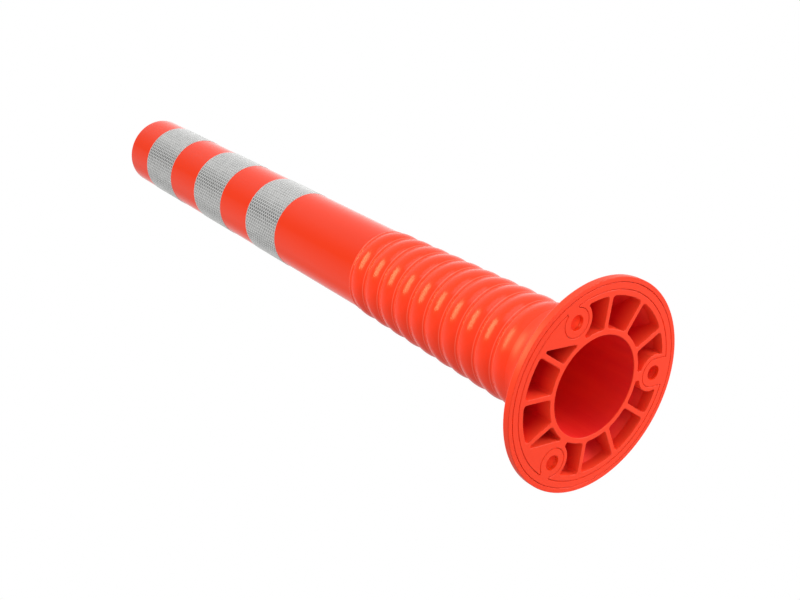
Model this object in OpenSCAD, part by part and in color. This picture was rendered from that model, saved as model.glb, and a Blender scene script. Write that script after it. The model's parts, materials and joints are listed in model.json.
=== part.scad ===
// Flexible delineator post: a corrugated rubber-like foot and stem that is bolted to the road
// through a mounting ring, with a rigid tube that carries three reflective bands.
// Millimetres, +Z up, origin at the middle of the face that stands on the road.
// Boss A of the foot lies along +X, and the foot is symmetrical about the plane Y = 0.

/* [Foot] */
// Diameter of the foot
foot_d = 200; // [190:1:240]
// Height of the side wall of the foot
foot_edge_h = 7.5; // [6:0.5:10]
// Rounding of the top edge of the side wall
foot_edge_round = 2; // [1:0.5:3]
// Width of the flat land between the side wall and the cone
foot_land = 4; // [2:0.5:8]
// Slope of the cone of the foot above the road
cone_angle = 40; // [35:1:42]
// Wall of the cone above the pockets
cone_wall = 4.5; // [3:0.5:6]
// Bore of the foot where it meets the road
bore_d = 95.6; // [80:0.2:96]
// Thickness of the wall around the bore
bore_wall = 5.2; // [4:0.2:7]
// Radius of the outer wall of the pockets
pocket_outer_r = 83.3; // [80:0.1:85]
// Thickness of the thin ribs
rib_t = 4.8; // [3:0.2:7]
// Thickness of the neck that joins each boss to the bore wall
neck_t = 9; // [6:0.5:12]
// Rounding of the corners of the pockets
pocket_round = 3; // [1.5:0.5:4]
// Distance of the straight edge of each flat web from the plane of symmetry
web_edge_y = 44.3; // [42:0.1:48]

/* [Mounting bolts] */
// Number of bolt bosses
boss_n = 3; // [3:1:3]
// Bolt circle diameter
bolt_circle_d = 149; // [144:1:152]
// Diameter of each bolt hole
bolt_hole_d = 14; // [10:0.5:16]
// Diameter of each boss
boss_d = 36; // [32:1:38]
// Height of the seat for the bolt head above the road
bolt_seat_z = 15; // [12:1:18]
// Diameter of the recess above each bolt seat
bolt_recess_d = 27; // [22:1:30]

/* [Mounting ring] */
// Outer diameter of the mounting ring
ring_outer_d = 190; // [186:1:192]
// Inner diameter of the mounting ring
ring_inner_d = 178; // [174:1:180]
// Thickness of the mounting ring
ring_t = 3; // [2:0.5:5]
// Diameter of the eye around each bolt hole
ring_eye_d = 27; // [22:1:29]
// Width of the neck between the ring and the eyes of the bosses B and C
ring_neck_w = 13; // [8:1:20]
// Gap between the mounting ring and its groove in the foot
ring_gap = 0.4; // [0.2:0.1:0.6]

/* [Stem] */
// Number of ridges
ridge_n = 10; // [7:1:11]
// Distance between ridges
ridge_pitch = 24; // [20:0.5:28]
// Height of the lowest ridge above the road
ridge_first_z = 66.5; // [62:0.5:78]
// Diameter of the lowest ridge
ridge_bottom_d = 103.6; // [100:0.2:108]
// How much larger the highest ridge is than the tube at its shoulder
ridge_top_step = 4.6; // [3:0.1:8]
// Depth of the valleys between the ridges
valley_depth = 2.4; // [1.5:0.1:3.2]
// Width of the flat land at the bottom of each valley
valley_land = 2.4; // [1:0.2:4]
// Depth of the waist between the lowest ridge and the foot
waist_depth = 0.8; // [0.4:0.1:1.5]
// Height of the flexible web at each valley
web_h = 9; // [8:0.5:10]
// Thickness of the stem wall at the top of the bore
stem_wall = 4; // [3:0.2:5]

/* [Tube] */
// Height of the whole post
post_h = 744; // [700:1:820]
// Diameter of the tube at its shoulder on the stem
tube_bottom_d = 85.4; // [82:0.2:88]
// Diameter of the tube at its top
tube_top_d = 76.9; // [72:0.1:82]
// Thickness of the tube wall
tube_wall = 4; // [3:0.2:5]
// Rounding of the top edge of the tube
tube_edge_round = 2.5; // [1:0.5:3]
// Length of the spigot that sits in the stem
spigot_l = 18; // [12:1:18]
// Clearance around the spigot
spigot_gap = 0.15; // [0.1:0.05:0.3]
// How far the collar of the stem stands proud of the tube
collar_lip = 0.6; // [0.3:0.1:1]

/* [Top cap] */
// Thickness of the disc of the cap
cap_t = 4; // [3:0.5:6]
// Depth of the skirt of the cap in the tube
cap_skirt_h = 16; // [10:1:24]
// Thickness of the skirt of the cap
cap_skirt_t = 2.5; // [2:0.5:4]
// How far the cap sits below the rim of the tube
cap_sink = 0.5; // [0:0.1:1]
// Clearance around the cap
cap_gap = 0.1; // [0.05:0.05:0.3]

/* [Reflective bands] */
// Height of the lower edge of the lowest band
band_first_z = 429; // [380:1:440]
// Width of each band
band_w = 56; // [40:1:60]
// Distance between the lower edges of the bands
band_pitch = 109; // [80:1:110]
// Thickness of the reflective sheeting
band_t = 0.4; // [0.2:0.1:0.8]
// Adhesive line between the sheeting and the tube
band_glue = 0.05; // [0.02:0.01:0.1]

/* [Hidden] */
$fn = 96;
eps = 0.01;
foot_r = foot_d / 2;
bore_r = bore_d / 2;
bore_wall_r = bore_r + bore_wall;
boss_angle = 360 / boss_n;
sector = 30;
land_r = foot_r - foot_edge_round - foot_land;
bolt_r = bolt_circle_d / 2;

// The stem: each ridge spans one pitch, and the hinge planes lie in the valleys.
hinge_n = ridge_n - 1;
stem_top_z = ridge_first_z + (ridge_n - 0.5) * ridge_pitch;
ridge_top_d = tube_bottom_d + ridge_top_step;
tube_bottom_r = tube_bottom_d / 2;
tube_top_r = tube_top_d / 2;
spigot_r = tube_bottom_r - tube_wall + spigot_gap;
shoulder_z = stem_top_z;
spigot_z = shoulder_z - spigot_l;
bore_top_r = ridge_top_d / 2 - valley_depth - stem_wall;

post_orange = [0.98, 0.27, 0.16];
tube_orange = [0.97, 0.25, 0.14];
sheet_grey = [0.72, 0.73, 0.72];

function polar(r, a) = r * [cos(a), sin(a)];
function arc(centre, r, from, to, n = 5) =
    [for (i = [0:n]) centre + polar(r, from + (to - from) * i / n)];

// Radii at height z: the crests of the ridges, the bore of the stem, and the tube.
function crest_r(z) = ridge_bottom_d / 2
    - (ridge_bottom_d - ridge_top_d) / 2 * (z - ridge_first_z) / ((ridge_n - 1) * ridge_pitch);
function bore_at(z) = bore_r - (bore_r - bore_top_r) * z / spigot_z;
function tube_r(z) = tube_bottom_r
    - (tube_bottom_r - tube_top_r) * (z - shoulder_z) / (post_h - shoulder_z);
function hinge_z(i) = ridge_first_z + (i - 0.5) * ridge_pitch;

// Outside of the stem at height z: each ridge is a shallow arch between two flat valleys.
arch_depth = valley_depth / pow(1 - valley_land / ridge_pitch, 2);
function stem_r(z) =
    let (from_ridge = (z - ridge_first_z) / ridge_pitch,
         along = 2 * (from_ridge - round(from_ridge)))
    crest_r(z) - min(valley_depth, arch_depth * along * along);
function stem_points(z0, z1, steps) =
    [for (i = [0:steps]) let (z = z0 + (z1 - z0) * i / steps) [stem_r(z), z]];

// Closes a run of outside points with the bore and turns it into a ring.
module stem_length(points) {
    z0 = points[0][1];
    z1 = points[len(points) - 1][1];
    rotate_extrude() polygon(concat(points, [[bore_at(z1), z1], [bore_at(z0), z0]]));
}

// ---- Foot ----
stem_foot_r = crest_r(ridge_first_z);
waist_r = stem_foot_r - waist_depth;
blend_r = 26;
foot_top_z = hinge_z(1) - web_h / 2;
cone_top_r = waist_r + blend_r * (1 - sin(cone_angle));
cone_top_z = foot_edge_h + (land_r - cone_top_r) * tan(cone_angle);
blend_top_z = cone_top_z + blend_r * cos(cone_angle);
function cone_z(r) = foot_edge_h + (land_r - r) * tan(cone_angle);

// Outside of the foot from the road to its top, where the first web begins.
function foot_profile() = concat(
    [[0, 0], [foot_r, 0]],
    arc([foot_r - foot_edge_round, foot_edge_h - foot_edge_round], foot_edge_round, 0, 90),
    [[land_r, foot_edge_h]],
    arc([waist_r + blend_r, blend_top_z], blend_r, 270 - cone_angle, 180, 10),
    [for (i = [1:8]) let (below = 1 - i / 8)
        [stem_foot_r - waist_depth * (1 - cos(180 * below)) / 2,
         ridge_first_z - (ridge_first_z - blend_top_z) * below]],
    stem_points(ridge_first_z + 2, foot_top_z, 4),
    [[0, foot_top_z]]
);

// Corner centres that the pockets share, as angles from the middle of the rib beside them.
function rib_corner(r, half_t) = asin((half_t + pocket_round) / r);
outer_corner = rib_corner(pocket_outer_r - pocket_round, rib_t / 2);
inner_corner = rib_corner(bore_wall_r + pocket_round, rib_t / 2);

// The side of a pocket that follows the rib at the end of its sector, from the outer wall in.
function rib_side() = concat(
    arc(polar(pocket_outer_r - pocket_round, sector - outer_corner),
        pocket_round, sector - outer_corner, sector + 90),
    arc(polar(bore_wall_r + pocket_round, sector - inner_corner),
        pocket_round, sector + 90, sector + 180 - inner_corner)
);

// A pocket between two thin ribs.
module plain_pocket() {
    polygon(concat(
        arc(polar(pocket_outer_r - pocket_round, outer_corner), pocket_round, -90, outer_corner),
        arc([0, 0], pocket_outer_r, outer_corner, sector - outer_corner, 8),
        rib_side(),
        arc([0, 0], bore_wall_r, sector - inner_corner, inner_corner, 6),
        arc(polar(bore_wall_r + pocket_round, inner_corner),
            pocket_round, 180 + inner_corner, 270)
    ));
}

// A pocket between a boss, which lies along +X, and a thin rib.
tip_round = 1.5;
boss_r = boss_d / 2;
notch_reach = pocket_outer_r - tip_round;
notch_angle = acos((pow(notch_reach, 2) + pow(bolt_r, 2) - pow(boss_r + tip_round, 2))
    / (2 * notch_reach * bolt_r));
notch_centre = polar(notch_reach, notch_angle);
notch_turn = atan2(-notch_centre[1], bolt_r - notch_centre[0]);
tip_angle = asin((neck_t / 2 + tip_round) / (bore_wall_r + tip_round));
tip_y = neck_t / 2 + tip_round;
tip_centre = [bolt_r - sqrt(pow(boss_r + tip_round, 2) - pow(tip_y, 2)), tip_y];
tip_turn = atan2(-tip_centre[1], bolt_r - tip_centre[0]);
module boss_pocket() {
    polygon(concat(
        arc(notch_centre, tip_round, notch_turn, notch_angle),
        arc([0, 0], pocket_outer_r, notch_angle, sector - outer_corner, 5),
        rib_side(),
        arc([0, 0], bore_wall_r, sector - inner_corner, tip_angle, 6),
        arc(polar(bore_wall_r + tip_round, tip_angle), tip_round, 180 + tip_angle, 270, 3),
        arc(tip_centre, tip_round, -90, tip_turn, 3),
        arc([bolt_r, 0], boss_r, tip_turn + 180, notch_turn + 180, 10)
    ));
}

// The three-cornered pocket beside boss B, cut off by a flat web whose edge is parallel to X.
web_corner_y = web_edge_y - tip_round;
web_rib_angle = boss_angle + sector;
web_tip = [(rib_t / 2 + tip_round + cos(web_rib_angle) * web_corner_y) / sin(web_rib_angle),
    web_corner_y];
web_inner = [-sqrt(pow(bore_wall_r + tip_round, 2) - pow(web_corner_y, 2)), web_corner_y];
web_inner_angle = atan2(web_inner[1], web_inner[0]);
module web_pocket() {
    polygon(concat(
        arc(web_tip, tip_round, 90, web_rib_angle + 90),
        arc(polar(bore_wall_r + pocket_round, web_rib_angle - inner_corner),
            pocket_round, web_rib_angle + 90, web_rib_angle + 180 - inner_corner),
        arc([0, 0], bore_wall_r, web_rib_angle - inner_corner, web_inner_angle, 5),
        arc(web_inner, tip_round, web_inner_angle + 180, 450)
    ));
}

module pocket_outlines() {
    for (boss = [0:boss_n - 1], i = [1:2])
        rotate(boss * boss_angle + i * sector) plain_pocket();
    for (flip = [0, 1]) mirror([0, flip]) {
        boss_pocket();
        rotate(boss_angle) mirror([0, 1]) boss_pocket();
        web_pocket();
    }
}

// Everything under the roof of the pockets, which runs parallel to the cone.
module under_roof() {
    roof_drop = cone_wall / cos(cone_angle);
    inner_r = bore_wall_r - 1;
    outer_r = pocket_outer_r + 1;
    rotate_extrude()
        polygon([
            [inner_r, -1],
            [outer_r, -1],
            [outer_r, cone_z(outer_r) - roof_drop],
            [inner_r, cone_z(inner_r) - roof_drop]
        ]);
}

// Outline of the mounting ring, grown by a margin on every side.
module ring_outline(grow = 0) {
    eye_r = ring_eye_d / 2 + grow;
    link_r = (ring_outer_d + ring_inner_d) / 4;
    difference() {
        circle(d = ring_outer_d + 2 * grow);
        circle(d = ring_inner_d - 2 * grow);
    }
    for (boss = [0:boss_n - 1])
        rotate(boss * boss_angle) {
            neck_w = (boss == 0 ? ring_eye_d : ring_neck_w) + 2 * grow;
            translate([bolt_r, 0]) circle(r = eye_r);
            translate([bolt_r, -neck_w / 2]) square([link_r - bolt_r, neck_w]);
        }
}

module bolt_holes() {
    for (boss = [0:boss_n - 1])
        rotate(boss * boss_angle) translate([bolt_r, 0, -1]) children();
}

module foot() {
    color(post_orange) difference() {
        rotate_extrude() polygon(foot_profile());
        intersection() {
            translate([0, 0, -1]) linear_extrude(foot_top_z) pocket_outlines();
            under_roof();
        }
        translate([0, 0, -1])
            cylinder(r1 = bore_at(-1), r2 = bore_at(foot_top_z + 1), h = foot_top_z + 2);
        translate([0, 0, -1]) linear_extrude(ring_t + ring_gap + 1) ring_outline(ring_gap);
        bolt_holes() cylinder(d = bolt_hole_d, h = foot_top_z);
        bolt_holes() translate([0, 0, bolt_seat_z + 1]) cylinder(d = bolt_recess_d, h = foot_top_z);
    }
}

module mounting_ring() {
    color(post_orange) difference() {
        linear_extrude(ring_t) ring_outline();
        bolt_holes() cylinder(d = bolt_hole_d, h = ring_t + 2);
    }
}

// ---- Stem ----
module stem_web(i) {
    color(post_orange) stem_length(concat(
        stem_points(hinge_z(i) - web_h / 2, hinge_z(i) - valley_land / 2, 4),
        stem_points(hinge_z(i) + valley_land / 2, hinge_z(i) + web_h / 2, 4)
    ));
}

module stem_ring(i) {
    color(post_orange)
        stem_length(stem_points(hinge_z(i) + web_h / 2, hinge_z(i + 1) - web_h / 2, 10));
}

// The highest ridge is the socket of the tube, and it ends in a thin raised lip.
module stem_collar() {
    base_z = hinge_z(hinge_n) + web_h / 2;
    lip_r = tube_bottom_r + collar_lip;
    color(post_orange) rotate_extrude()
        polygon(concat(
            [for (point = stem_points(base_z, shoulder_z - 2, 8))
                [max(point[0], lip_r), point[1]]],
            [[lip_r, shoulder_z], [spigot_r, shoulder_z], [spigot_r, base_z]]
        ));
}

// ---- Tube ----
module tube() {
    inner_top_r = tube_top_r - tube_wall;
    edge_z = post_h - tube_edge_round;
    color(tube_orange) rotate_extrude()
        polygon(concat(
            [[spigot_r - spigot_gap - tube_wall, spigot_z], [spigot_r - spigot_gap, spigot_z],
             [spigot_r - spigot_gap, shoulder_z], [tube_bottom_r, shoulder_z]],
            arc([tube_r(edge_z) - tube_edge_round, edge_z], tube_edge_round, 0, 90),
            [[inner_top_r, post_h], [spigot_r - spigot_gap - tube_wall, shoulder_z + 12]]
        ));
}

module top_cap() {
    rim_z = post_h - cap_sink;
    cap_r = tube_top_r - tube_wall - cap_gap;
    color(tube_orange) rotate_extrude()
        polygon([
            [0, rim_z - cap_t], [cap_r - cap_skirt_t, rim_z - cap_t],
            [cap_r - cap_skirt_t, rim_z - cap_skirt_h], [cap_r, rim_z - cap_skirt_h],
            [cap_r, rim_z - 1], [cap_r - 1, rim_z], [0, rim_z]
        ]);
}

// ---- Reflective bands ----
module band(i) {
    z0 = band_first_z + (i - 1) * band_pitch;
    z1 = z0 + band_w;
    color(sheet_grey) rotate_extrude()
        polygon([
            [tube_r(z0) + band_glue, z0], [tube_r(z0) + band_glue + band_t, z0],
            [tube_r(z1) + band_glue + band_t, z1], [tube_r(z1) + band_glue, z1]
        ]);
}

foot();
mounting_ring();
for (i = [1:hinge_n])
    stem_web(i);
for (i = [1:hinge_n - 1])
    stem_ring(i);
stem_collar();
tube();
top_cap();
for (i = [1:3])
    band(i);
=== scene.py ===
import json
import math

import bmesh
import bpy
from mathutils import Matrix, Vector


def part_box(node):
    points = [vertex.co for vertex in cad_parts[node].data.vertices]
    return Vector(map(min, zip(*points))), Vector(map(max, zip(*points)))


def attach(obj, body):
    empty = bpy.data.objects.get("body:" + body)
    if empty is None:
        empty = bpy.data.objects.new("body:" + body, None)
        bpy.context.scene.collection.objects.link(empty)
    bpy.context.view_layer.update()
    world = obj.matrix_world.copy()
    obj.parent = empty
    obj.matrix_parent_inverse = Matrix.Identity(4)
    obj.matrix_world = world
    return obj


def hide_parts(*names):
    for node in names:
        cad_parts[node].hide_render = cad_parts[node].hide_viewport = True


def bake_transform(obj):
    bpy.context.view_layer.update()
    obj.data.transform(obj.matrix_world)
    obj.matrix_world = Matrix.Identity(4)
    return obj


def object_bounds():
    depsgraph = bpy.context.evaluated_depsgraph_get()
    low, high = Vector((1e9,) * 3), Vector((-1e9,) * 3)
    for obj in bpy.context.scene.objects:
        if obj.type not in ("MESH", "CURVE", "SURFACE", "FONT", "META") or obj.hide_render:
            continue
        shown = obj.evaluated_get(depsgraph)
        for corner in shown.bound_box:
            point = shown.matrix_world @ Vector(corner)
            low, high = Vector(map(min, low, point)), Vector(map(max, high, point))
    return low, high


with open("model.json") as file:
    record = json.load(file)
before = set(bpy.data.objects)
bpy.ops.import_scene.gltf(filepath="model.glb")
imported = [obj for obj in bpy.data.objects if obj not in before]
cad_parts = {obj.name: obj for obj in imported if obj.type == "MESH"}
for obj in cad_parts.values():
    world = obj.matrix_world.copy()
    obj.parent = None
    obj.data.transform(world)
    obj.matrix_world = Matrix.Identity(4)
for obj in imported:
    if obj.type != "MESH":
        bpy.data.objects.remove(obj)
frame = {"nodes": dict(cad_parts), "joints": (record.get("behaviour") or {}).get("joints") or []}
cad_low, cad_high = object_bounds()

# ---- Studio: camera, floor and lights ----
# The post is seen from under its foot, with its length running away from the camera.
# White surroundings, an overhead softbox, one that fills the foot, and one each for stem and tube.
VIEW_RIGHT = Vector((0.7749, -0.1220, -0.6201))
VIEW_UP = Vector((0.1296, -0.9296, 0.3449))
VIEW_AHEAD = Vector((0.6186, 0.3476, 0.7046))
CAMERA_AT = Vector((-0.8687, -0.4697, -0.7245))

camera_data = bpy.data.cameras.new("studio_camera")
camera_data.sensor_width = 36
camera_data.lens = 63.84
camera_data.clip_start = 0.01
camera_data.clip_end = 60
camera = bpy.data.objects.new("studio_camera", camera_data)
camera.matrix_world = Matrix((
    (VIEW_RIGHT.x, VIEW_UP.x, -VIEW_AHEAD.x, CAMERA_AT.x),
    (VIEW_RIGHT.y, VIEW_UP.y, -VIEW_AHEAD.y, CAMERA_AT.y),
    (VIEW_RIGHT.z, VIEW_UP.z, -VIEW_AHEAD.z, CAMERA_AT.z),
    (0, 0, 0, 1),
))
bpy.context.scene.collection.objects.link(camera)
bpy.context.scene.camera = camera
bpy.context.scene.view_settings.view_transform = "Standard"


def softbox(name, target, direction, distance, width, height, watts):
    """A soft rectangular light that stands off the target and faces it."""
    light = bpy.data.lights.new(name, "AREA")
    light.shape = "RECTANGLE"
    light.size = width
    light.size_y = height
    light.energy = watts
    lamp = bpy.data.objects.new(name, light)
    away = Vector(direction).normalized()
    lamp.location = target + away * distance
    lamp.rotation_mode = "QUATERNION"
    lamp.rotation_quaternion = away.to_track_quat("Z", "Y")
    lamp.visible_camera = False
    bpy.context.scene.collection.objects.link(lamp)
    return lamp


POST_MIDDLE = (cad_low + cad_high) / 2
FOOT_MIDDLE = Vector((0, 0, 0))
STEM_MIDDLE = Vector((0, 0, 0.17))
TUBE_MIDDLE = Vector((0, 0, 0.4))
softbox(
    "overhead_softbox", POST_MIDDLE, VIEW_UP - 0.55 * VIEW_AHEAD,
    distance=1.9, width=1.6, height=1.2, watts=12.5,
)
softbox(
    "foot_fill", FOOT_MIDDLE, (0.64, -0.37, -0.67),
    distance=1.6, width=0.9, height=0.9, watts=9.5,
)
stem_softbox = softbox(
    "stem_softbox", STEM_MIDDLE, (-0.63, -0.39, 0.66),
    distance=1.6, width=0.9, height=0.66, watts=18,
)
stem_softbox.data.color = (1, 0.86, 0.42)
tube_softbox = softbox(
    "tube_softbox", TUBE_MIDDLE, (-0.85, 0.53, -0.1),
    distance=1.6, width=0.8, height=0.8, watts=9.5,
)

# The stem's warm softbox lights only what is in the first set, the tube's only what is in the second.
beside_stem = bpy.data.collections.new("beside_stem")
stem_softbox.light_linking.receiver_collection = beside_stem
beside_tube = bpy.data.collections.new("beside_tube")
tube_softbox.light_linking.receiver_collection = beside_tube

world = bpy.data.worlds.new("studio")
bpy.context.scene.world = world
world.use_nodes = True
sky = world.node_tree
sky.nodes.clear()
sky_out = sky.nodes.new("ShaderNodeOutputWorld")
sky_seen = sky.nodes.new("ShaderNodeBackground")
sky_light = sky.nodes.new("ShaderNodeBackground")
sky_mix = sky.nodes.new("ShaderNodeMixShader")
sky_ray = sky.nodes.new("ShaderNodeLightPath")
sky_place = sky.nodes.new("ShaderNodeTexCoord")
sky_seen.inputs["Color"].default_value = (1, 1, 1, 1)
sky_light.inputs["Color"].default_value = (1, 1, 1, 1)


def sky_fade(direction, start, end, low, high):
    """Goes from low to high as the cosine from that direction goes from start to end."""
    facing = sky.nodes.new("ShaderNodeVectorMath")
    facing.operation = "DOT_PRODUCT"
    facing.inputs[1].default_value = Vector(direction).normalized()
    sky.links.new(sky_place.outputs["Generated"], facing.inputs[0])
    fade = sky.nodes.new("ShaderNodeMapRange")
    fade.interpolation_type = "SMOOTHSTEP"
    for label, value in (
        ("From Min", start), ("From Max", end), ("To Min", low), ("To Max", high)
    ):
        fade.inputs[label].default_value = value
    sky.links.new(facing.outputs["Value"], fade.inputs["Value"])
    return fade.outputs["Result"]


def sky_math(operation, first, second):
    """One sum in the sky, of two values that are each a number or a socket."""
    node = sky.nodes.new("ShaderNodeMath")
    node.operation = operation
    for slot, value in zip(node.inputs, (first, second)):
        if isinstance(value, float):
            slot.default_value = value
        else:
            sky.links.new(value, slot)
    return node.outputs[0]


# A dark flag hangs at the left and thins out to both sides, with one crisp edge in it. A second,
# weaker one hangs at the far side.
flag_side = (0.26, -0.97, 0)
flag_edge = sky_math(
    "ADD", sky_fade(flag_side, -0.5, -0.05, 0, 0.7), sky_fade(flag_side, -0.12, -0.1, 0, 0.3)
)
flag = sky_math("MULTIPLY", flag_edge, sky_fade(flag_side, 0.05, 0.65, 1, 0))
flag = sky_math("MULTIPLY", flag, sky_fade((-1, 0, 0), 0.05, 0.3, 0, 1))
flag = sky_math("MULTIPLY", flag, sky_fade((0, 0, 1), 0.35, 0.6, 0, 1))
far_side = (0.218, 0.632, 0.743)
flag = sky_math("ADD", flag, sky_fade(far_side, 0.8, 0.97, 0, 0.6))
walls = sky_math("ADD", sky_fade(VIEW_AHEAD, 0.55, 1, 0, 0.35), sky_fade(VIEW_UP, -0.5, 0.8, 0.62, 0.92))
FLAG_DARK = 0.5
sky_strength = sky_math("SUBTRACT", walls, sky_math("MULTIPLY", flag, FLAG_DARK))
sky.links.new(sky_strength, sky_light.inputs["Strength"])
sky.links.new(sky_ray.outputs["Is Camera Ray"], sky_mix.inputs[0])
sky.links.new(sky_light.outputs[0], sky_mix.inputs[1])
sky.links.new(sky_seen.outputs[0], sky_mix.inputs[2])
sky.links.new(sky_mix.outputs[0], sky_out.inputs["Surface"])

# The floor is a pale disc under the foot. It has an upper side only, so the foot shows from below.
FLOOR_R = 2.4
FLOOR_DROP = 0.0006
FLOOR_SIDES = 64
FULL_SHARE = 0.15
FADED_SHARE = 0.95
floor_mesh = bpy.data.meshes.new("floor")
floor_edge = [
    (FLOOR_R * math.cos(turn), FLOOR_R * math.sin(turn), cad_low.z - FLOOR_DROP)
    for turn in (2 * math.pi * i / FLOOR_SIDES for i in range(FLOOR_SIDES))
]
floor_mesh.from_pydata(floor_edge, [], [range(FLOOR_SIDES)])
floor = bpy.data.objects.new("floor", floor_mesh)
bpy.context.scene.collection.objects.link(floor)
floor.visible_shadow = False
floor.visible_diffuse = False
floor.visible_glossy = False
floor.visible_transmission = False

floor_paint = bpy.data.materials.new("floor_paint")
floor_paint.use_nodes = True
paint = floor_paint.node_tree
paint.nodes.clear()
paint_out = paint.nodes.new("ShaderNodeOutputMaterial")
paint_clear = paint.nodes.new("ShaderNodeBsdfTransparent")
paint_matt = paint.nodes.new("ShaderNodeBsdfDiffuse")
paint_matt.inputs["Color"].default_value = (0.86, 0.86, 0.86, 1)
paint_mix = paint.nodes.new("ShaderNodeMixShader")
paint_side = paint.nodes.new("ShaderNodeNewGeometry")
paint_place = paint.nodes.new("ShaderNodeTexCoord")
paint_away = paint.nodes.new("ShaderNodeVectorMath")
paint_away.operation = "LENGTH"
paint_fade = paint.nodes.new("ShaderNodeMapRange")
paint_fade.interpolation_type = "SMOOTHSTEP"
paint_fade.inputs["From Min"].default_value = FLOOR_R * FADED_SHARE
paint_fade.inputs["From Max"].default_value = FLOOR_R * FULL_SHARE
paint_top = paint.nodes.new("ShaderNodeMath")
paint_top.operation = "SUBTRACT"
paint_top.use_clamp = True
paint.links.new(paint_place.outputs["Object"], paint_away.inputs[0])
paint.links.new(paint_away.outputs["Value"], paint_fade.inputs["Value"])
paint.links.new(paint_fade.outputs["Result"], paint_top.inputs[0])
paint.links.new(paint_side.outputs["Backfacing"], paint_top.inputs[1])
paint.links.new(paint_top.outputs[0], paint_mix.inputs[0])
paint.links.new(paint_clear.outputs[0], paint_mix.inputs[1])
paint.links.new(paint_matt.outputs[0], paint_mix.inputs[2])
paint.links.new(paint_mix.outputs[0], paint_out.inputs["Surface"])
floor_mesh.materials.append(floor_paint)

# ---- Foot ----
# The foot is moulded with the stem from flexible polyurethane: a cone over twelve pockets,
# three bosses for the road bolts and a groove for the mounting ring. Its rims are softly rounded.
RIM_ROUND = 0.0006
RIM_STEPS = 3
FOOT_ORANGE = (0.90, 0.040, 0.005)
FOOT_DEEP = (0.86, 0.034, 0.004)


def moulded_skin_group():
    """Colour mottle, gloss patches and the fine grain of the mould, for every moulded plastic."""
    group = bpy.data.node_groups.new("moulded_skin", "ShaderNodeTree")
    sockets = group.interface
    sockets.new_socket("Place", in_out="INPUT", socket_type="NodeSocketVector")
    sockets.new_socket("Colour", in_out="INPUT", socket_type="NodeSocketColor")
    sockets.new_socket("Deep Colour", in_out="INPUT", socket_type="NodeSocketColor")
    for name in ("Mottle Scale", "Grain Scale", "Least Roughness", "Most Roughness"):
        sockets.new_socket(name, in_out="INPUT", socket_type="NodeSocketFloat")
    sockets.new_socket("Colour", in_out="OUTPUT", socket_type="NodeSocketColor")
    sockets.new_socket("Roughness", in_out="OUTPUT", socket_type="NodeSocketFloat")
    sockets.new_socket("Height", in_out="OUTPUT", socket_type="NodeSocketFloat")
    given = group.nodes.new("NodeGroupInput")
    made = group.nodes.new("NodeGroupOutput")
    mottle = group.nodes.new("ShaderNodeTexNoise")
    mottle.inputs["Detail"].default_value = 3
    grain = group.nodes.new("ShaderNodeTexNoise")
    grain.inputs["Detail"].default_value = 2
    tint = group.nodes.new("ShaderNodeMix")
    tint.data_type = "RGBA"
    gloss = group.nodes.new("ShaderNodeMapRange")
    gloss.inputs["From Min"].default_value = 0.3
    gloss.inputs["From Max"].default_value = 0.7
    link = group.links.new
    link(given.outputs["Place"], mottle.inputs["Vector"])
    link(given.outputs["Mottle Scale"], mottle.inputs["Scale"])
    link(given.outputs["Place"], grain.inputs["Vector"])
    link(given.outputs["Grain Scale"], grain.inputs["Scale"])
    link(mottle.outputs["Fac"], tint.inputs["Factor"])
    link(given.outputs["Colour"], tint.inputs["A"])
    link(given.outputs["Deep Colour"], tint.inputs["B"])
    link(mottle.outputs["Fac"], gloss.inputs["Value"])
    link(given.outputs["Least Roughness"], gloss.inputs["To Min"])
    link(given.outputs["Most Roughness"], gloss.inputs["To Max"])
    link(tint.outputs["Result"], made.inputs["Colour"])
    link(gloss.outputs["Result"], made.inputs["Roughness"])
    link(grain.outputs["Fac"], made.inputs["Height"])
    return group


skin_group = moulded_skin_group()


def moulded_plastic(name, colour, deep, mottle, grain, roughness, bump, shine=0.3, stretch=1.0):
    """A moulded plastic with the shared skin. Its numbers are those of one piece's finish. A stretch
    under one draws the mottle out into streaks along the post."""
    material = bpy.data.materials.new(name)
    material.use_nodes = True
    tree = material.node_tree
    shader = tree.nodes["Principled BSDF"]
    shader.inputs["Specular IOR Level"].default_value = shine
    place = tree.nodes.new("ShaderNodeTexCoord")
    drawn = tree.nodes.new("ShaderNodeMapping")
    drawn.inputs["Scale"].default_value = (1, 1, stretch)
    skin = tree.nodes.new("ShaderNodeGroup")
    skin.node_tree = skin_group
    skin.inputs["Colour"].default_value = (*colour, 1)
    skin.inputs["Deep Colour"].default_value = (*deep, 1)
    skin.inputs["Mottle Scale"].default_value = mottle
    skin.inputs["Grain Scale"].default_value = grain
    skin.inputs["Least Roughness"].default_value = roughness[0]
    skin.inputs["Most Roughness"].default_value = roughness[1]
    relief = tree.nodes.new("ShaderNodeBump")
    relief.inputs["Distance"].default_value = bump
    relief.inputs["Strength"].default_value = 1
    tree.links.new(place.outputs["Object"], drawn.inputs["Vector"])
    tree.links.new(drawn.outputs["Vector"], skin.inputs["Place"])
    tree.links.new(skin.outputs["Colour"], shader.inputs["Base Color"])
    tree.links.new(skin.outputs["Roughness"], shader.inputs["Roughness"])
    tree.links.new(skin.outputs["Height"], relief.inputs["Height"])
    tree.links.new(relief.outputs["Normal"], shader.inputs["Normal"])
    return material


foot_plastic = moulded_plastic(
    "foot_plastic", FOOT_ORANGE, FOOT_DEEP,
    mottle=30, grain=1400, roughness=(0.34, 0.44), bump=0.00002,
)

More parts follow.
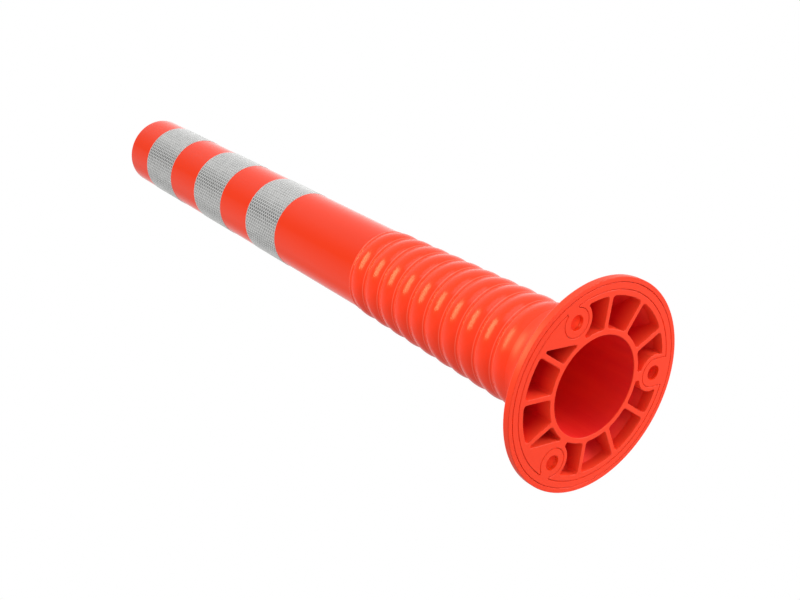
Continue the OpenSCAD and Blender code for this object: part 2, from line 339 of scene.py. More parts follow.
# Where the cores of the mould were, in the bore, pockets and holes, the surface is matt; its deeper,
# more crimson colour there is painted shade of these recesses.
recess_painted_shade_plastic = moulded_plastic(
    "recess_painted_shade_plastic", (0.93, 0.030, 0.015), (0.76, 0.007, 0.013),
    mottle=70, grain=1000, roughness=(0.55, 0.7), bump=0.00003, shine=0.15, stretch=0.12,
)
pocket_painted_shade_and_light = moulded_plastic(
    "pocket_painted_shade_and_light", (0.78, 0.014, 0.012), (0.56, 0.003, 0.009),
    mottle=70, grain=1000, roughness=(0.55, 0.7), bump=0.00003, shine=0.15, stretch=0.12,
)

# Painted light: the pocket walls are paler near the mouth of each pocket, where light falls in, and
# deeper in they keep the darker painted shade.
PAINTED_MOUTH_LIGHT_REACH = 0.017
mouth_nodes = pocket_painted_shade_and_light.node_tree
mouth_shader = mouth_nodes.nodes["Principled BSDF"]
mouth_place = mouth_nodes.nodes.new("ShaderNodeTexCoord")
mouth_split = mouth_nodes.nodes.new("ShaderNodeSeparateXYZ")
painted_mouth_light_fade = mouth_nodes.nodes.new("ShaderNodeMapRange")
painted_mouth_light_fade.inputs["From Max"].default_value = PAINTED_MOUTH_LIGHT_REACH
painted_mouth_light = mouth_nodes.nodes.new("ShaderNodeMix")
painted_mouth_light.data_type = "RGBA"
painted_mouth_light.inputs["A"].default_value = (1, 0.075, 0.025, 1)
mouth_nodes.links.new(mouth_place.outputs["Object"], mouth_split.inputs[0])
mouth_nodes.links.new(mouth_split.outputs["Z"], painted_mouth_light_fade.inputs["Value"])
mouth_nodes.links.new(painted_mouth_light_fade.outputs["Result"], painted_mouth_light.inputs["Factor"])
mouth_nodes.links.new(mouth_shader.inputs["Base Color"].links[0].from_socket, painted_mouth_light.inputs["B"])
mouth_nodes.links.new(painted_mouth_light.outputs["Result"], mouth_shader.inputs["Base Color"])

# The neck is the lowest ridge of the stem, so it is nearly as glossy as the stem.
neck_plastic = moulded_plastic(
    "neck_plastic", FOOT_ORANGE, FOOT_DEEP,
    mottle=16, grain=900, roughness=(0.24, 0.28), bump=0.000006, shine=0.24,
)

# An edge is crisp where it turns by more than this many degrees, and flat where by less than that.
CRISP_TURN = 35
FLAT_TURN = 0.5
WELD = 1e-6
MOST_SIDEWAYS = 0.08


def turned_normals(mesh):
    """Sets the normals of a mesh that is mostly turned about the axis of the post. A face of the
    turned surface takes its own slope to every corner, so that long facets shade as one surface.
    Ribs and bosses look more to the side than that and keep their own normals."""

    def slope(face, place):
        out = Vector((face.center.x, face.center.y, 0)).normalized()
        outward = face.normal.dot(out)
        if abs(face.normal.dot(Vector((-out.y, out.x, 0)))) > MOST_SIDEWAYS:
            return face.normal
        here = Vector((place.x, place.y, 0)).normalized() * outward
        return Vector((here.x, here.y, face.normal.z)).normalized()

    faces_at = [[] for _ in mesh.vertices]
    for face in mesh.polygons:
        for vertex in face.vertices:
            faces_at[vertex].append(face)
    limit = math.cos(math.radians(CRISP_TURN))
    normals = [None] * len(mesh.loops)
    for face in mesh.polygons:
        for loop, vertex in zip(face.loop_indices, face.vertices):
            place = mesh.vertices[vertex].co
            own = slope(face, place)
            near = [(slope(other, place), other.area) for other in faces_at[vertex]]
            total = sum((n * area for n, area in near if n.dot(own) > limit), Vector())
            normals[loop] = total.normalized() if total.length > 0 else own
    mesh.normals_split_custom_set(normals)


def softened_copy(node, name, round_off, steps, plastics):
    """A copy of a CAD node with every crisp edge that lies on its underside rounded off."""
    form = bmesh.new()
    form.from_mesh(frame["nodes"][node].data)
    bmesh.ops.remove_doubles(form, verts=form.verts, dist=WELD)
    bmesh.ops.dissolve_limit(
        form, angle_limit=math.radians(FLAT_TURN), verts=form.verts, edges=form.edges
    )
    base_z = min(v.co.z for v in form.verts)
    rims = [
        e for e in form.edges
        if all(abs(v.co.z - base_z) < WELD for v in e.verts)
        and len(e.link_faces) == 2
        and e.calc_face_angle(0) > math.radians(CRISP_TURN)
    ]
    bmesh.ops.bevel(
        form, geom=rims, offset=round_off, offset_type="OFFSET", segments=steps,
        profile=0.5, affect="EDGES", clamp_overlap=False, loop_slide=True,
    )
    mesh = bpy.data.meshes.new(name)
    form.to_mesh(mesh)
    form.free()
    mesh.shade_smooth()
    mesh.set_sharp_from_angle(angle=math.radians(CRISP_TURN))
    turned_normals(mesh)
    for plastic in plastics:
        mesh.materials.append(plastic)
    piece = bpy.data.objects.new(name, mesh)
    bpy.context.scene.collection.objects.link(piece)
    return piece


foot_finishes = (foot_plastic, recess_painted_shade_plastic, neck_plastic, pocket_painted_shade_and_light)
foot = softened_copy("foot", "foot_moulding", RIM_ROUND, RIM_STEPS, foot_finishes)
POCKET_REACH = 0.0845
BORE_FOOT_R = 0.0478
BORE_MARGIN = 0.0001
BORE_TAPER = 9.2 / 276.5
CONE_FOOT_R = 0.094
CONE_FOOT_Z = 0.0065
CONE_SLOPE = math.tan(math.radians(40))
NECK_Z = 0.058
# Bore faces take the plastic with the painted shade of the recess.
for face in foot.data.polygons:
    radius = math.hypot(face.center.x, face.center.y)
    under_cone = face.center.z < CONE_FOOT_Z + (CONE_FOOT_R - radius) * CONE_SLOPE
    if face.center.z > RIM_ROUND and radius < BORE_FOOT_R + BORE_MARGIN:
        face.material_index = foot_finishes.index(recess_painted_shade_plastic)
    # Faces in the pockets and holes take the pocket plastic, with its painted shade and the painted
    # light at the mouth.
    elif face.center.z > RIM_ROUND and radius < POCKET_REACH and under_cone:
        face.material_index = foot_finishes.index(pocket_painted_shade_and_light)
    elif face.center.z > NECK_Z:
        face.material_index = foot_finishes.index(neck_plastic)
beside_stem.objects.link(foot)
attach(foot, "base")
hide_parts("foot")

# ---- Mounting ring ----
# A flat moulded ring with an eye round each road bolt. It lies flush in the groove of the foot
# and is clamped there by the three bolts.
RING_ROUND = 0.0005
RING_STEPS = 2
ring_plastic = moulded_plastic(
    "ring_plastic", FOOT_ORANGE, FOOT_DEEP,
    mottle=22, grain=1100, roughness=(0.34, 0.42), bump=0.00002,
)
mounting_ring = softened_copy(
    "mounting_ring", "mounting_ring_moulding", RING_ROUND, RING_STEPS, [ring_plastic]
)
beside_stem.objects.link(mounting_ring)
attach(mounting_ring, "base")
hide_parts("mounting_ring")

# ---- Stem skins ----
# The flexible stem is one moulding with the foot: ten shallow arched ridges with narrow valleys
# between them. Each skin runs from ridge to ridge over one hinge.
JOINTS = frame["joints"]
PITCH = JOINTS[1]["pos_m"][2] - JOINTS[0]["pos_m"][2]
FIRST_RIDGE_Z = JOINTS[0]["pos_m"][2] - PITCH / 2
VALLEY_DEPTH = 0.0024
VALLEY_LAND = 0.0024
VALLEY_CREASE = 0.00025
VALLEY_BLEND = 0.0003
BEAD = 0.00008
BEAD_HALF = 0.00035
BEAD_GAP = 0.0021
SKIN_STEPS = 96
BORE_STEPS = 4
SKIN_SEGMENTS = 144
SKIN_WELD = 0.00002
SKIN_CRISP_TURN = 50


class Number:
    """A number in a geometry tree, so that the formulas below read as formulas."""

    def __init__(self, tree, socket):
        self.tree = tree
        self.socket = socket

    def math(self, operation, *others):
        node = self.tree.nodes.new("ShaderNodeMath")
        node.operation = operation
        for slot, value in zip(node.inputs, (self, *others)):
            if isinstance(value, Number):
                self.tree.links.new(value.socket, slot)
            else:
                slot.default_value = value
        return Number(self.tree, node.outputs[0])

    def __add__(self, other):
        return self.math("ADD", other)

    def __sub__(self, other):
        return self.math("SUBTRACT", other)

    def __mul__(self, other):
        return self.math("MULTIPLY", other)

    def __truediv__(self, other):
        return self.math("DIVIDE", other)


def geometry_tree(name, inputs):
    """A geometry tree with named inputs, its input node and its output node."""
    tree = bpy.data.node_groups.new(name, "GeometryNodeTree")
    tree.interface.new_socket("Geometry", in_out="INPUT", socket_type="NodeSocketGeometry")
    for label, kind, value in inputs:
        socket = tree.interface.new_socket(label, in_out="INPUT", socket_type=kind)
        if value is not None:
            socket.default_value = value
    tree.interface.new_socket("Geometry", in_out="OUTPUT", socket_type="NodeSocketGeometry")
    given = tree.nodes.new("NodeGroupInput")
    made = tree.nodes.new("NodeGroupOutput")
    return tree, given, made


def grown_piece(name, base_mesh, tree, values):
    """Runs a geometry tree on a mesh and returns the result as a plain mesh object."""
    seed = bpy.data.objects.new(name + "_seed", base_mesh)
    bpy.context.scene.collection.objects.link(seed)
    modifier = seed.modifiers.new("grow", "NODES")
    modifier.node_group = tree
    for item in tree.interface.items_tree:
        if item.item_type == "SOCKET" and item.in_out == "INPUT" and item.name in values:
            modifier[item.identifier] = values[item.name]
    bpy.context.view_layer.update()
    evaluated = seed.evaluated_get(bpy.context.evaluated_depsgraph_get())
    mesh = bpy.data.meshes.new_from_object(evaluated)
    mesh.name = name
    bpy.data.objects.remove(seed)
    piece = bpy.data.objects.new(name, mesh)
    bpy.context.scene.collection.objects.link(piece)
    return piece


FLOAT = "NodeSocketFloat"


def stem_skin_tree():
    """Wraps a grid round the axis: its rows climb the outside of the stem and come down the bore."""
    labels = (
        "Bottom", "Top", "First Ridge", "Pitch", "Crest Foot", "Crest Taper", "Valley Depth",
        "Land", "Crease", "Bead", "Bore Foot", "Bore Taper",
    )
    tree, given, made = geometry_tree("stem_skin", [(label, FLOAT, None) for label in labels] + [
        ("Material", "NodeSocketMaterial", None), ("Inside Material", "NodeSocketMaterial", None),
    ])
    rows = SKIN_STEPS + BORE_STEPS + 3
    grid = tree.nodes.new("GeometryNodeMeshGrid")
    grid.inputs["Size X"].default_value = 1
    grid.inputs["Size Y"].default_value = 1
    grid.inputs["Vertices X"].default_value = SKIN_SEGMENTS + 1
    grid.inputs["Vertices Y"].default_value = rows
    place = tree.nodes.new("GeometryNodeInputPosition")
    split = tree.nodes.new("ShaderNodeSeparateXYZ")
    tree.links.new(place.outputs[0], split.inputs[0])
    value = {label: Number(tree, given.outputs[label]) for label in labels}
    around = (Number(tree, split.outputs["X"]) + 0.5) * (2 * math.pi)
    row = ((Number(tree, split.outputs["Y"]) + 0.5) * (rows - 1)).math("ROUND")
    row = row.math("MODULO", rows - 1)
    inside = row.math("GREATER_THAN", SKIN_STEPS + 0.5)
    up = (row / SKIN_STEPS).math("MINIMUM", 1.0)
    down = (row - (SKIN_STEPS + 1)).math("MAXIMUM", 0.0) / BORE_STEPS
    share = up - inside * down
    height = value["Bottom"] + share * (value["Top"] - value["Bottom"])
    from_ridge = (height - value["First Ridge"]) / value["Pitch"]
    along = (from_ridge - from_ridge.math("ROUND")) * 2.0
    crest = value["Crest Foot"] - (height - value["First Ridge"]) * value["Crest Taper"]
    reach = (value["Land"] / value["Pitch"] - 1.0).math("POWER", 2.0)
    arch = along * along * value["Valley Depth"] / reach
    outside = crest - arch.math("SMOOTH_MIN", value["Valley Depth"], VALLEY_BLEND)
    from_valley = (along.math("ABSOLUTE") * -1.0 + 1.0) * value["Pitch"] / value["Land"]
    outside = outside - (from_valley * -1.0 + 1.0).math("MAXIMUM", 0.0) * value["Crease"]
    edge_gap = (along.math("ABSOLUTE") - 1.0) * value["Pitch"] / 2.0 + BEAD_GAP
    bead_and_painted_highlight = ((edge_gap / BEAD_HALF).math("POWER", 2.0) * -1.0).math("EXPONENT")
    outside = outside + bead_and_painted_highlight * value["Bead"]
    bore = value["Bore Foot"] - height * value["Bore Taper"]
    radius = outside + inside * (bore - outside)
    join = tree.nodes.new("ShaderNodeCombineXYZ")
    tree.links.new((radius * around.math("COSINE")).socket, join.inputs["X"])
    tree.links.new((radius * around.math("SINE")).socket, join.inputs["Y"])
    tree.links.new(height.socket, join.inputs["Z"])
    wrap = tree.nodes.new("GeometryNodeSetPosition")
    # The bead profile is also kept, on the outside only, as the mask of a painted highlight along the
    # beads.
    keep_painted_highlight_mask = tree.nodes.new("GeometryNodeStoreNamedAttribute")
    keep_painted_highlight_mask.inputs["Name"].default_value = "bead_and_painted_highlight"
    merge = tree.nodes.new("GeometryNodeMergeByDistance")
    merge.inputs["Distance"].default_value = SKIN_WELD
    cover = tree.nodes.new("GeometryNodeSetMaterial")
    realize = tree.nodes.new("GeometryNodeRealizeInstances")
    tree.links.new(grid.outputs["Mesh"], keep_painted_highlight_mask.inputs["Geometry"])
    tree.links.new(keep_painted_highlight_mask.outputs[0], wrap.inputs["Geometry"])
    tree.links.new(join.outputs[0], wrap.inputs["Position"])
    tree.links.new(wrap.outputs[0], merge.inputs["Geometry"])
    tree.links.new((bead_and_painted_highlight - inside * bead_and_painted_highlight).socket, keep_painted_highlight_mask.inputs["Value"])
    tree.links.new(merge.outputs[0], realize.inputs["Geometry"])
    tree.links.new(realize.outputs[0], cover.inputs["Geometry"])
    tree.links.new(given.outputs["Material"], cover.inputs["Material"])
    level = tree.nodes.new("ShaderNodeVectorMath")
    level.operation = "MULTIPLY"
    level.inputs[1].default_value = (1, 1, 0)
    facing = tree.nodes.new("ShaderNodeVectorMath")
    facing.operation = "DOT_PRODUCT"
    normal = tree.nodes.new("GeometryNodeInputNormal")
    tree.links.new(place.outputs[0], level.inputs[0])
    tree.links.new(level.outputs[0], facing.inputs[0])
    tree.links.new(normal.outputs[0], facing.inputs[1])
    # Faces that look at the axis are the bore and take the inside material, whose deeper colour is
    # painted shade.
    faces_axis = Number(tree, facing.outputs["Value"]).math("LESS_THAN", 0.0)
    cover_bore = tree.nodes.new("GeometryNodeSetMaterial")
    tree.links.new(cover.outputs[0], cover_bore.inputs["Geometry"])
    tree.links.new(faces_axis.socket, cover_bore.inputs["Selection"])
    tree.links.new(given.outputs["Inside Material"], cover_bore.inputs["Material"])
    tree.links.new(cover_bore.outputs[0], made.inputs[0])
    return tree


stem_plastic = moulded_plastic(
    "stem_plastic", FOOT_ORANGE, FOOT_DEEP,
    mottle=16, grain=900, roughness=(0.18, 0.22), bump=0.000006, shine=0.24,
)

# The fine beads beside each valley, and the lip of the collar, get a painted highlight: their colour is
# mixed towards a paler orange.
bead_nodes = stem_plastic.node_tree
bead_shader = bead_nodes.nodes["Principled BSDF"]
painted_highlight_mask = bead_nodes.nodes.new("ShaderNodeAttribute")
painted_highlight_mask.attribute_name = "bead_and_painted_highlight"
painted_highlight_tint = bead_nodes.nodes.new("ShaderNodeMix")
painted_highlight_tint.data_type = "RGBA"
painted_highlight_tint.inputs["B"].default_value = (1, 0.13, 0.08, 1)
bead_nodes.links.new(painted_highlight_mask.outputs["Fac"], painted_highlight_tint.inputs["Factor"])
bead_nodes.links.new(bead_shader.inputs["Base Color"].links[0].from_socket, painted_highlight_tint.inputs["A"])
bead_nodes.links.new(painted_highlight_tint.outputs["Result"], bead_shader.inputs["Base Color"])

ring_low, ring_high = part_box("stem_ring_1"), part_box("stem_ring_8")
crest_gap = JOINTS[8]["pos_m"][2] - JOINTS[1]["pos_m"][2]
CREST_TAPER = (ring_low[1].x - ring_high[1].x) / crest_gap
CREST_FOOT = ring_low[1].x + PITCH * CREST_TAPER
skin_tree = stem_skin_tree()
empty_mesh = bpy.data.meshes.new("seed")
for index, joint in enumerate(JOINTS, 1):
    hinge_z = joint["pos_m"][2]
    low_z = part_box("foot")[1].z if index == 1 else hinge_z - PITCH / 2
    high_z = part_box("stem_collar")[0].z if index == len(JOINTS) else hinge_z + PITCH / 2
    skin = grown_piece(f"stem_skin_{index}", empty_mesh, skin_tree, {
        "Bottom": low_z,
        "Top": high_z,
        "First Ridge": FIRST_RIDGE_Z,
        "Pitch": PITCH,
        "Crest Foot": CREST_FOOT,
        "Crest Taper": CREST_TAPER,
        "Valley Depth": VALLEY_DEPTH,
        "Land": VALLEY_LAND,
        "Crease": VALLEY_CREASE,
        "Bead": BEAD,
        "Bore Foot": BORE_FOOT_R,
        "Bore Taper": BORE_TAPER,
        "Material": stem_plastic,
        "Inside Material": recess_painted_shade_plastic,
    })
    skin.data.shade_smooth()
    skin.data.set_sharp_from_angle(angle=math.radians(SKIN_CRISP_TURN))
    beside_stem.objects.link(skin)
    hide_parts(f"stem_web_{index}")
    if index < len(JOINTS):
        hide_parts(f"stem_ring_{index}")
    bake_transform(skin)

# ---- Collar ----
# The highest ridge is the socket of the tube. It ends in a thin raised lip that grips the tube,
# and it is moulded in one with the stem.
SHOULDER_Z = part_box("stem_collar")[1].z
COLLAR_BASE_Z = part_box("stem_collar")[0].z
TUBE_FOOT_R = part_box("tube")[1].x
TUBE_WALL = 0.004
SPIGOT_R = TUBE_FOOT_R - TUBE_WALL
SPIGOT_GAP = 0.00015
COLLAR_LIP = 0.0006
LIP_ROUND = 0.0005
LIP_INSET = 0.0002
LIP_BELOW = 0.001
COLLAR_STEPS = 36
TURN_STEPS = 192


def turned(name, outline, closed, material):
    """Turns an outline of (radius, height) points about the axis of the post. Going up it makes an
    outer wall. A closed outline is a ring; an open one starts and ends on the axis."""
    form = bmesh.new()
    rings = []
    for radius, height in outline:
        steps = TURN_STEPS if radius > 0 else 1
        rings.append([
            form.verts.new((
                radius * math.cos(2 * math.pi * i / TURN_STEPS),
                radius * math.sin(2 * math.pi * i / TURN_STEPS),
                height,
            ))
            for i in range(steps)
        ])
    pairs = list(zip(rings, rings[1:] + rings[:1])) if closed else list(zip(rings, rings[1:]))
    for low, high in pairs:
        for i in range(TURN_STEPS):
            j = (i + 1) % TURN_STEPS
            if len(low) == 1:
                form.faces.new((low[0], high[j], high[i]))
            elif len(high) == 1:
                form.faces.new((low[i], low[j], high[0]))
            else:
                form.faces.new((low[i], low[j], high[j], high[i]))
    mesh = bpy.data.meshes.new(name)
    form.to_mesh(mesh)
    form.free()
    mesh.shade_smooth()
    mesh.set_sharp_from_angle(angle=math.radians(CRISP_TURN))
    mesh.materials.append(material)
    piece = bpy.data.objects.new(name, mesh)
    bpy.context.scene.collection.objects.link(piece)
    return piece


def quarter_turn(radius, height, size, start, steps=4):
    """Points of a rounded corner: a quarter circle of that size round its centre, anticlockwise."""
    angles = (math.radians(start + 90 * i / steps) for i in range(steps + 1))
    return [(radius + size * math.cos(a), height + size * math.sin(a)) for a in angles]


def ridge_r(height):
    """Outside radius of the top ridge, by the rule of the stem skins without bead and crease."""
    from_ridge = (height - FIRST_RIDGE_Z) / PITCH
    along = 2 * (from_ridge - round(from_ridge))
    crest = CREST_FOOT - (height - FIRST_RIDGE_Z) * CREST_TAPER
    return crest - min(VALLEY_DEPTH, VALLEY_DEPTH * (along / (1 - VALLEY_LAND / PITCH)) ** 2)


lip_r = TUBE_FOOT_R + COLLAR_LIP
lip_z = SHOULDER_Z - LIP_ROUND
collar_rise = lip_z - LIP_BELOW - COLLAR_BASE_Z
collar_climb = [COLLAR_BASE_Z + collar_rise * i / COLLAR_STEPS for i in range(COLLAR_STEPS + 1)]
collar = turned(
    "collar_moulding",
    [(max(ridge_r(z), lip_r - LIP_INSET), z) for z in collar_climb]
    + quarter_turn(lip_r - LIP_INSET, lip_z, LIP_ROUND, 0)
    + [(SPIGOT_R + SPIGOT_GAP, SHOULDER_Z), (SPIGOT_R + SPIGOT_GAP, COLLAR_BASE_Z)],
    True, stem_plastic,
)
# The lip is marked with the same mask, so it gets the paler painted highlight as well.
lip_painted_highlight_mask = collar.data.attributes.new("bead_and_painted_highlight", "FLOAT", "POINT")
for vertex in collar.data.vertices:
    outside = math.hypot(vertex.co.x, vertex.co.y) > SPIGOT_R + 2 * LIP_ROUND
    on_lip = outside and vertex.co.z > lip_z - LIP_ROUND
    lip_painted_highlight_mask.data[vertex.index].value = 1.0 if on_lip else 0.0
beside_stem.objects.link(collar)
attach(collar, "upper")
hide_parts("stem_collar")

# ---- Tube ----
# A rigid, slightly tapered tube, blown or extruded in a glossy orange plastic. Its spigot is
# pushed into the collar, and the shoulder rests on the lip.
TUBE_TOP_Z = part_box("tube")[1].z
TUBE_LOW_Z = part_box("tube")[0].z
CAP_GAP = 0.0001
TUBE_TOP_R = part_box("top_cap")[1].x + CAP_GAP + TUBE_WALL
TUBE_ROUND = 0.0025
TUBE_ROUND_STEPS = 8
TUBE_STEPS = 40
SHOULDER_ROUND = 0.0004
SHOULDER_BLEND = 0.001
SPIGOT_TAPER_H = 0.012
TUBE_ORANGE = (0.89, 0.042, 0.005)
TUBE_DEEP = (0.85, 0.036, 0.004)


def tube_r(height):
    """Outside radius of the tube above its shoulder."""
    share = (height - SHOULDER_Z) / (TUBE_TOP_Z - SHOULDER_Z)
    return TUBE_FOOT_R - (TUBE_FOOT_R - TUBE_TOP_R) * share


tube_plastic = moulded_plastic(
    "tube_plastic", TUBE_ORANGE, TUBE_DEEP,
    mottle=24, grain=500, roughness=(0.10, 0.17), bump=0.000006, stretch=0.3,
)
edge_z = TUBE_TOP_Z - TUBE_ROUND
shoulder_r = tube_r(SHOULDER_Z) - SHOULDER_ROUND
tube_start = SHOULDER_Z + SHOULDER_BLEND
tube_climb = [tube_start + (edge_z - tube_start) * i / TUBE_STEPS for i in range(TUBE_STEPS)]
tube = turned(
    "tube_moulding",
    [(SPIGOT_R - TUBE_WALL, TUBE_LOW_Z), (SPIGOT_R, TUBE_LOW_Z), (SPIGOT_R, SHOULDER_Z)]
    + [(shoulder_r, SHOULDER_Z)]
    + quarter_turn(shoulder_r, SHOULDER_Z + SHOULDER_ROUND, SHOULDER_ROUND, -90)[1:]
    + [(tube_r(z), z) for z in tube_climb]
    + quarter_turn(tube_r(edge_z) - TUBE_ROUND, edge_z, TUBE_ROUND, 0, TUBE_ROUND_STEPS)
    + [(TUBE_TOP_R - TUBE_WALL, TUBE_TOP_Z), (SPIGOT_R - TUBE_WALL, SHOULDER_Z + SPIGOT_TAPER_H)],
    True, tube_plastic,
)
beside_tube.objects.link(tube)
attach(tube, "upper")
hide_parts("tube")

# ---- Top cap ----
# A moulded plug closes the tube against rain. Its skirt is pressed in, and the disc is dished a
# little, with the round mark of the gate in its middle.
CAP_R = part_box("top_cap")[1].x
CAP_TOP_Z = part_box("top_cap")[1].z
CAP_LOW_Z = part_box("top_cap")[0].z
CAP_ROUND = 0.001
CAP_SKIRT = 0.0025
CAP_DISC = 0.004
CAP_DISH = 0.0008
DISH_R = CAP_R - 0.003
DISH_STEPS = 24
GATE_R = 0.004
GATE_DEEP = 0.0006
GATE_SLOPE = 0.0005
under_z = CAP_TOP_Z - CAP_DISC - CAP_DISH
gate_z = CAP_TOP_Z - CAP_DISH - GATE_DEEP
dish = [
    (r, CAP_TOP_Z - CAP_DISH * (1 + math.cos(math.pi * r / DISH_R)) / 2)
    for r in (DISH_R * (1 - i / DISH_STEPS) for i in range(DISH_STEPS - 2))
]
cap = turned(
    "top_cap_moulding",
    [(0, under_z), (CAP_R - CAP_SKIRT, under_z), (CAP_R - CAP_SKIRT, CAP_LOW_Z)]
    + [(CAP_R, CAP_LOW_Z)]
    + quarter_turn(CAP_R - CAP_ROUND, CAP_TOP_Z - CAP_ROUND, CAP_ROUND, 0)
    + dish
    + [(GATE_R, CAP_TOP_Z - CAP_DISH), (GATE_R - GATE_SLOPE, gate_z), (0, gate_z)],
    False, tube_plastic,
)
beside_tube.objects.link(cap)
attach(cap, "upper")
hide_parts("top_cap")

# ---- Reflective bands ----
# Three bands of reflective sheeting are glued round the tube. Six-sided sealed cells lie in upright
# columns, each half a cell out of step with the next, in a grid of pale welded lines.
CELL_PITCH_AROUND = 0.00336
CELLS_UP = 15
CELL_LEAN = 1 / 6
CELL_SHARE = 0.78
CELL_DEPTH = 0.00012
BORDER = 0.0003
SHEET_T = 0.0004
SHEET_ROUND = 0.0001


def sheet_cells_tree():
    """Presses a cell into every face that is marked, and gives its floor the prism material."""
    tree, given, made = geometry_tree("sheet_cells", [
        ("Cell Share", FLOAT, CELL_SHARE), ("Depth", FLOAT, CELL_DEPTH),
        ("Film", "NodeSocketMaterial", None), ("Prisms", "NodeSocketMaterial", None),
    ])
    marked = tree.nodes.new("GeometryNodeInputNamedAttribute")
    marked.data_type = "BOOLEAN"
    marked.inputs["Name"].default_value = "cell"
    inset = tree.nodes.new("GeometryNodeExtrudeMesh")
    inset.mode = "FACES"
    inset.inputs["Individual"].default_value = True
    inset.inputs["Offset Scale"].default_value = 0
    shrink = tree.nodes.new("GeometryNodeScaleElements")
    shrink.domain = "FACE"
    normal = tree.nodes.new("GeometryNodeInputNormal")
    sink = tree.nodes.new("ShaderNodeVectorMath")
    sink.operation = "SCALE"
    press = tree.nodes.new("GeometryNodeSetPosition")
    film = tree.nodes.new("GeometryNodeSetMaterial")
    prisms = tree.nodes.new("GeometryNodeSetMaterial")
    tone = tree.nodes.new("FunctionNodeRandomValue")
    tone.inputs["Seed"].default_value = 5
    keep_tone = tree.nodes.new("GeometryNodeStoreNamedAttribute")
    keep_tone.domain = "FACE"
    keep_tone.inputs["Name"].default_value = "cell_tone"
    realize = tree.nodes.new("GeometryNodeRealizeInstances")
    depth = Number(tree, given.outputs["Depth"]) * -1.0
    link = tree.links.new
    link(given.outputs["Geometry"], inset.inputs["Mesh"])
    link(marked.outputs["Attribute"], inset.inputs["Selection"])
    link(inset.outputs["Mesh"], shrink.inputs["Geometry"])
    link(inset.outputs["Top"], shrink.inputs["Selection"])
    link(given.outputs["Cell Share"], shrink.inputs["Scale"])
    link(shrink.outputs["Geometry"], press.inputs["Geometry"])
    link(inset.outputs["Top"], press.inputs["Selection"])
    link(normal.outputs[0], sink.inputs[0])
    link(depth.socket, sink.inputs["Scale"])
    link(sink.outputs[0], press.inputs["Offset"])
    link(press.outputs[0], realize.inputs["Geometry"])
    link(realize.outputs[0], film.inputs["Geometry"])
    link(given.outputs["Film"], film.inputs["Material"])
    link(film.outputs[0], prisms.inputs["Geometry"])
    link(inset.outputs["Top"], prisms.inputs["Selection"])
    link(given.outputs["Prisms"], prisms.inputs["Material"])
    link(prisms.outputs[0], keep_tone.inputs["Geometry"])
    link(inset.outputs["Top"], keep_tone.inputs["Selection"])
    link(tone.outputs[1], keep_tone.inputs["Value"])
    link(keep_tone.outputs[0], made.inputs[0])
    return tree


def sheet_material(name, colour, deep, metallic, roughness, bump):
    """A material of the sheeting: the shared skin with a finer grain and a share of metal."""
    material = moulded_plastic(name, colour, deep, 60, 2500, roughness, bump)
    material.node_tree.nodes["Principled BSDF"].inputs["Metallic"].default_value = metallic
    return material


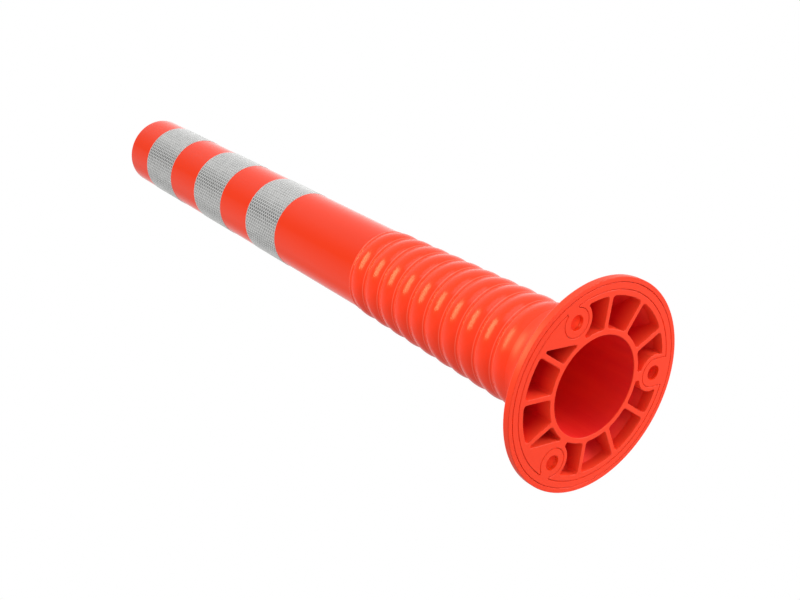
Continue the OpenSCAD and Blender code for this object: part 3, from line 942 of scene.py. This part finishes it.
def honeycomb_sleeve(name, low_z, high_z, outer_gap, columns):
    """A sleeve round the tube whose outside is a honeycomb. Its cell faces come first in the mesh."""
    form = bmesh.new()
    half_rows = 2 * CELLS_UP
    half_cell = (high_z - low_z - 2 * BORDER) / half_rows

    def ring(radius, height, row=0):
        verts = []
        for column in range(columns):
            lean = CELL_LEAN if (column + row) % 2 else -CELL_LEAN
            turn = 2 * math.pi * (column + 0.5 + lean) / columns
            verts.append(form.verts.new((radius * math.cos(turn), radius * math.sin(turn), height)))
        return verts

    rows = []
    for row in range(half_rows + 1):
        height = low_z + BORDER + half_cell * row
        rows.append(ring(tube_r(height) + outer_gap, height, row))
    for column in range(columns):
        last = column - 1
        starts = range(0, half_rows, 2) if column % 2 == 0 else range(-1, half_rows, 2)
        for start in starts:
            span = [row for row in (start, start + 1, start + 2) if 0 <= row <= half_rows]
            right = [rows[row][column] for row in span]
            left = [rows[row][last] for row in reversed(span)]
            form.faces.new(right + left)
    cells = len(form.faces)
    rims = [
        rows[-1],
        ring(tube_r(high_z) + outer_gap, high_z - SHEET_ROUND),
        ring(tube_r(high_z) + outer_gap - SHEET_ROUND, high_z),
        ring(tube_r(high_z) + outer_gap - SHEET_T, high_z),
        ring(tube_r(low_z) + outer_gap - SHEET_T, low_z),
        ring(tube_r(low_z) + outer_gap - SHEET_ROUND, low_z),
        ring(tube_r(low_z) + outer_gap, low_z + SHEET_ROUND),
        rows[0],
    ]
    for low, high in zip(rims, rims[1:]):
        for i in range(columns):
            j = (i + 1) % columns
            form.faces.new((low[i], low[j], high[j], high[i]))
    mesh = bpy.data.meshes.new(name)
    form.to_mesh(mesh)
    form.free()
    marks = mesh.attributes.new("cell", "BOOLEAN", "FACE")
    for face in range(cells):
        marks.data[face].value = True
    return mesh


sheet_film = sheet_material(
    "sheet_film", (0.60, 0.60, 0.59), (0.54, 0.54, 0.53),
    metallic=0.05, roughness=(0.18, 0.28), bump=0.00001,
)
sheet_prisms = sheet_material(
    "sheet_prisms", (0.54, 0.54, 0.53), (0.44, 0.44, 0.43),
    metallic=0.9, roughness=(0.12, 0.24), bump=0.00004,
)

# No two cells catch the light quite alike, so each has its own tone.
prism_nodes = sheet_prisms.node_tree
prism_shader = prism_nodes.nodes["Principled BSDF"]
prism_tone = prism_nodes.nodes.new("ShaderNodeAttribute")
prism_tone.attribute_name = "cell_tone"
prism_shade = prism_nodes.nodes.new("ShaderNodeMapRange")
prism_shade.inputs["To Min"].default_value = 0.88
prism_shade.inputs["To Max"].default_value = 1.08
prism_colour = prism_nodes.nodes.new("ShaderNodeVectorMath")
prism_colour.operation = "SCALE"
prism_nodes.links.new(prism_tone.outputs["Fac"], prism_shade.inputs["Value"])
prism_nodes.links.new(prism_shader.inputs["Base Color"].links[0].from_socket, prism_colour.inputs[0])
prism_nodes.links.new(prism_shade.outputs["Result"], prism_colour.inputs["Scale"])
prism_nodes.links.new(prism_colour.outputs[0], prism_shader.inputs["Base Color"])

cells_tree = sheet_cells_tree()
for number in (1, 2, 3):
    low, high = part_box(f"band_{number}")
    columns = 2 * round(math.pi * high.x / CELL_PITCH_AROUND)
    sleeve = honeycomb_sleeve(
        f"sheet_{number}", low.z, high.z, high.x - tube_r(low.z), columns
    )
    band = grown_piece(f"reflective_sheet_{number}", sleeve, cells_tree, {
        "Cell Share": CELL_SHARE, "Depth": CELL_DEPTH, "Film": sheet_film, "Prisms": sheet_prisms,
    })
    beside_tube.objects.link(band)
    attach(band, "upper")
    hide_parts(f"band_{number}")
